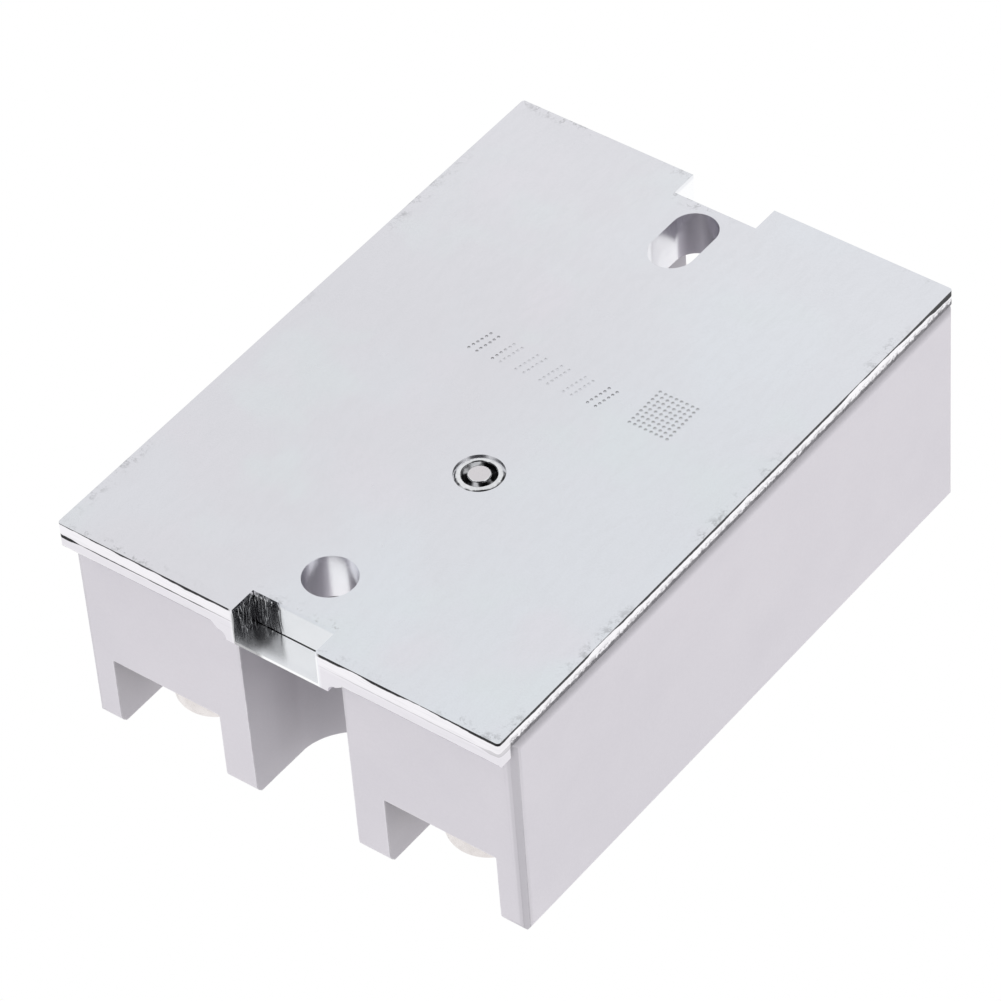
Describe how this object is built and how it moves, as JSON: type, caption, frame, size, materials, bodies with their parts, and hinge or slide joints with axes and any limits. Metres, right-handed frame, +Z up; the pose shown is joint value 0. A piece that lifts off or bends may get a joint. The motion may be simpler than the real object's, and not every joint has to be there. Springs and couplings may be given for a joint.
{
  "type": "solid state relay",
  "caption": "Panel-mount solid state relay: grey plastic block with screw terminals in end pockets, and a flat plated metal base plate with mounting holes, lying terminal side down.",
  "frame": {"origin": "under the middle of the relay, on the plane of the terminal-side face that it lies on", "axes": "+X across the relay, +Y along it towards the slotted hole, +Z up, out of the metal base plate (the relay lies terminal side down, as in the picture)"},
  "size_m": [0.0446, 0.0622, 0.0231],
  "materials": {
    "housing_plastic": "fine satin moulded plastic, light warm grey",
    "base_metal": "bright nickel plating on a blanked steel plate",
    "rivet_metal": "bright rolled rivet head",
    "label_film": "plain printed-film blank",
    "alumina": "unglazed white ceramic",
    "copper": "bare copper",
    "device_plastic": "moulded epoxy",
    "tinned_lead": "dull tin plating",
    "potting_resin": "filled epoxy resin",
    "circuit_board": "solder mask over glass-epoxy board",
    "white_plastic": "moulded epoxy",
    "resistor_coat": "lacquered body",
    "capacitor_coat": "dipped epoxy box",
    "led_resin": "tinted clear resin",
    "terminal_metal": "nickel-plated brass sheet",
    "clamp_metal": "zinc-plated steel",
    "screw_metal": "bright nickel-plated steel"
  },
  "bodies": {
    "relay_body": {"housing": "housing_plastic", "base_plate": "base_metal", "base_rivet": "rivet_metal", "face_label": "label_film", "ceramic_insulator": "alumina", "triac_tab": "copper", "triac_body": "device_plastic", "triac_leads": "tinned_lead", "output_busbar_1": "copper", "output_busbar_2": "copper", "potting_compound": "potting_resin", "control_board": "circuit_board", "optocoupler": "white_plastic", "optocoupler_pins": "tinned_lead", "input_transistor": "device_plastic", "protection_diode": "device_plastic", "input_resistors": "resistor_coat", "gate_resistors": "resistor_coat", "snubber_resistor": "resistor_coat", "snubber_capacitor": "capacitor_coat", "status_led": "led_resin", "status_led_leads": "tinned_lead", "terminal_plate_1": "terminal_metal", "terminal_plate_2": "terminal_metal", "terminal_plate_3": "terminal_metal", "terminal_plate_4": "terminal_metal"},
    "clamp_1": {"clamp_plate_1": "clamp_metal"},
    "screw_1": {"terminal_screw_1": "screw_metal"},
    "clamp_2": {"clamp_plate_2": "clamp_metal"},
    "screw_2": {"terminal_screw_2": "screw_metal"},
    "clamp_3": {"clamp_plate_3": "clamp_metal"},
    "screw_3": {"terminal_screw_3": "screw_metal"},
    "clamp_4": {"clamp_plate_4": "clamp_metal"},
    "screw_4": {"terminal_screw_4": "screw_metal"}
  },
  "joints": [
    {"name": "clamp_1_slide", "type": "slide", "parent": "relay_body", "child": "clamp_1", "axis": [0, 0, -1], "range_m": [0, 0.00175]},
    {"name": "screw_1_turn", "type": "hinge", "parent": "clamp_1", "child": "screw_1", "pos_m": [-0.01395, -0.0233, 0.0054], "axis": [0, 0, -1], "range_deg": [0, 900]},
    {"name": "clamp_2_slide", "type": "slide", "parent": "relay_body", "child": "clamp_2", "axis": [0, 0, -1], "range_m": [0, 0.00175]},
    {"name": "screw_2_turn", "type": "hinge", "parent": "clamp_2", "child": "screw_2", "pos_m": [0.01395, -0.0233, 0.0054], "axis": [0, 0, -1], "range_deg": [0, 900]},
    {"name": "clamp_3_slide", "type": "slide", "parent": "relay_body", "child": "clamp_3", "axis": [0, 0, -1], "range_m": [0, 0.00175]},
    {"name": "screw_3_turn", "type": "hinge", "parent": "clamp_3", "child": "screw_3", "pos_m": [-0.01395, 0.0233, 0.0054], "axis": [0, 0, -1], "range_deg": [0, 900]},
    {"name": "clamp_4_slide", "type": "slide", "parent": "relay_body", "child": "clamp_4", "axis": [0, 0, -1], "range_m": [0, 0.00175]},
    {"name": "screw_4_turn", "type": "hinge", "parent": "clamp_4", "child": "screw_4", "pos_m": [0.01395, 0.0233, 0.0054], "axis": [0, 0, -1], "range_deg": [0, 900]}
  ],
  "couplings": [
    {"joint": "screw_1_turn", "follows": "clamp_1_slide", "rad_per_m": 8976},
    {"joint": "screw_2_turn", "follows": "clamp_2_slide", "rad_per_m": 8976},
    {"joint": "screw_3_turn", "follows": "clamp_3_slide", "rad_per_m": 8976},
    {"joint": "screw_4_turn", "follows": "clamp_4_slide", "rad_per_m": 8976}
  ]
}
